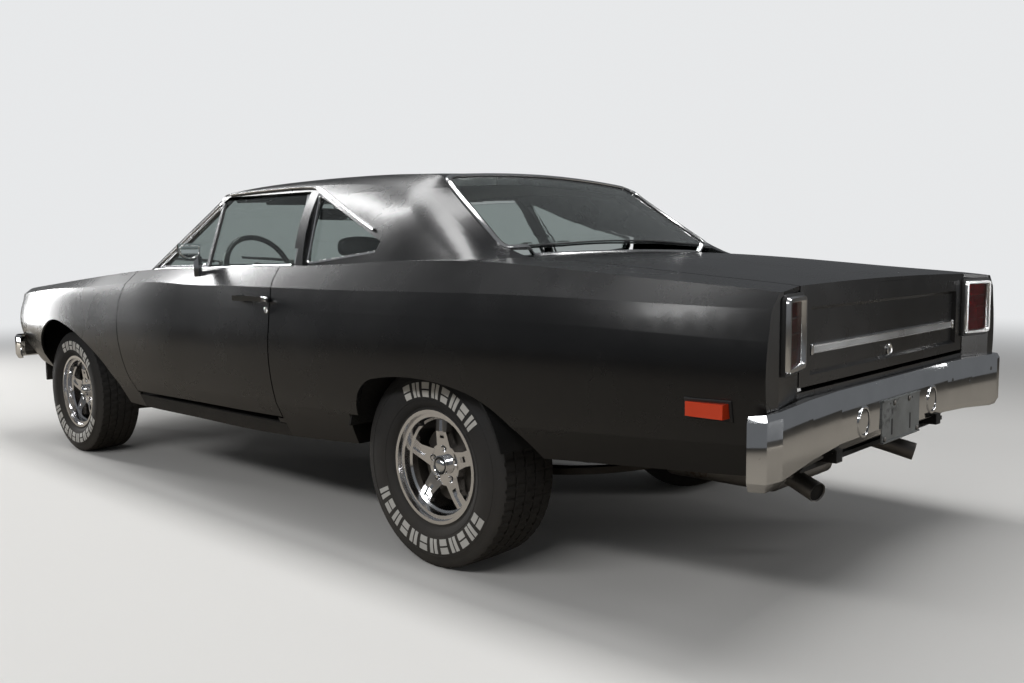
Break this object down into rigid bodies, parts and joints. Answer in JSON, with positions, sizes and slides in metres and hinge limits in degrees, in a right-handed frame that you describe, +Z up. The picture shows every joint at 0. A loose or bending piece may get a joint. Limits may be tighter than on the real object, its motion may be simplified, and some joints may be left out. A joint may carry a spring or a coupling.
{
  "type": "two-door performance coupe",
  "caption": "Late-1960s style two-door black performance coupe with opening doors, hood and deck lid, steering front wheels and five-spoke rims.",
  "frame": {"origin": "on the ground under the middle of the car's box", "axes": "+X points forward, +Y to the car's left, +Z up"},
  "size_m": [5.158, 1.966, 1.4163],
  "materials": {
    "paint": "satin black paint, worn",
    "underseal": "dusty black underseal",
    "chrome": "bright chrome with light wear",
    "tyre": "black rubber",
    "iron": "dull oily iron",
    "glass": "clear tinted glass",
    "trim_black": "matt black plastic",
    "vinyl": "black vinyl",
    "red_lens": "red lens",
    "steel": "dull steel"
  },
  "bodies": {
    "root": {"front_structure": "underseal", "underbody": "underseal", "roof": "paint", "quarter_panel_left": "paint", "quarter_panel_right": "paint", "fender_left": "paint", "fender_right": "paint", "tail_panel": "paint", "grille": "trim_black", "bumper_front": "chrome", "bumper_rear": "chrome", "plate_bracket": "steel", "tail_lamps": "red_lens", "marker_lamps": "red_lens", "windshield": "glass", "rear_window": "glass", "quarter_glass_left": "glass", "quarter_glass_right": "glass", "suspension_front": "iron", "rear_axle": "iron", "leaf_spring_left": "iron", "leaf_spring_right": "iron", "engine": "iron", "driveshaft": "iron", "exhaust": "steel", "fuel_tank": "steel", "dashboard": "trim_black", "seats_front": "vinyl", "rear_seat_cushion": "vinyl", "rear_seat_back": "vinyl", "parcel_shelf": "paint", "nose_panel": "paint", "headlamps": "glass"},
    "door_left": {"door_left": "paint", "door_glass_left": "glass", "door_fittings_left": "chrome"},
    "knuckle_left": {"knuckle_left": "iron"},
    "wheel_front_left": {"tyre_front_left": "tyre", "rim_front_left": "chrome", "brake_drum_front_left": "iron"},
    "wheel_rear_left": {"tyre_rear_left": "tyre", "rim_rear_left": "chrome", "brake_drum_rear_left": "iron"},
    "door_right": {"door_right": "paint", "door_glass_right": "glass", "door_fittings_right": "chrome"},
    "knuckle_right": {"knuckle_right": "iron"},
    "wheel_front_right": {"tyre_front_right": "tyre", "rim_front_right": "chrome", "brake_drum_front_right": "iron"},
    "wheel_rear_right": {"tyre_rear_right": "tyre", "rim_rear_right": "chrome", "brake_drum_rear_right": "iron"},
    "hood": {"hood": "paint"},
    "deck_lid": {"deck_lid": "paint"},
    "steering_wheel": {"steering_wheel": "trim_black"}
  },
  "joints": [
    {"name": "door_left_hinge", "type": "hinge", "parent": "root", "child": "door_left", "pos_m": [0.868, 0.962, 0.7], "axis": [0, 0, -1], "range_deg": [0, 65]},
    {"name": "steer_left", "type": "hinge", "parent": "root", "child": "knuckle_left", "pos_m": [1.653, 0.634, 0.334], "axis": [0, 0, 1], "range_deg": [-33, 33]},
    {"name": "wheel_front_left_spin", "type": "hinge", "parent": "knuckle_left", "child": "wheel_front_left", "pos_m": [1.653, 0.752, 0.334], "axis": [0, 1, 0], "continuous": true},
    {"name": "wheel_rear_left_spin", "type": "hinge", "parent": "root", "child": "wheel_rear_left", "pos_m": [-1.293, 0.748, 0.351], "axis": [0, 1, 0], "continuous": true},
    {"name": "door_right_hinge", "type": "hinge", "parent": "root", "child": "door_right", "pos_m": [0.868, -0.962, 0.7], "axis": [0, 0, 1], "range_deg": [0, 65]},
    {"name": "steer_right", "type": "hinge", "parent": "root", "child": "knuckle_right", "pos_m": [1.653, -0.634, 0.334], "axis": [0, 0, 1], "range_deg": [-33, 33]},
    {"name": "wheel_front_right_spin", "type": "hinge", "parent": "knuckle_right", "child": "wheel_front_right", "pos_m": [1.653, -0.752, 0.334], "axis": [0, 1, 0], "continuous": true},
    {"name": "wheel_rear_right_spin", "type": "hinge", "parent": "root", "child": "wheel_rear_right", "pos_m": [-1.293, -0.748, 0.351], "axis": [0, 1, 0], "continuous": true},
    {"name": "hood_hinge", "type": "hinge", "parent": "root", "child": "hood", "pos_m": [1.004, 0, 1.026], "axis": [0, -1, 0], "range_deg": [0, 50]},
    {"name": "deck_lid_hinge", "type": "hinge", "parent": "root", "child": "deck_lid", "pos_m": [-1.634, 0, 1.088], "axis": [0, 1, 0], "range_deg": [0, 65]},
    {"name": "steering_wheel_turn", "type": "hinge", "parent": "root", "child": "steering_wheel", "pos_m": [0.52, 0.38, 1], "axis": [-0.9135, 0, 0.4067], "range_deg": [-528, 528]}
  ],
  "couplings": [
    {"joint": "steer_right", "follows": "steer_left", "ratio": 1},
    {"joint": "steering_wheel_turn", "follows": "steer_left", "ratio": 16}
  ]
}
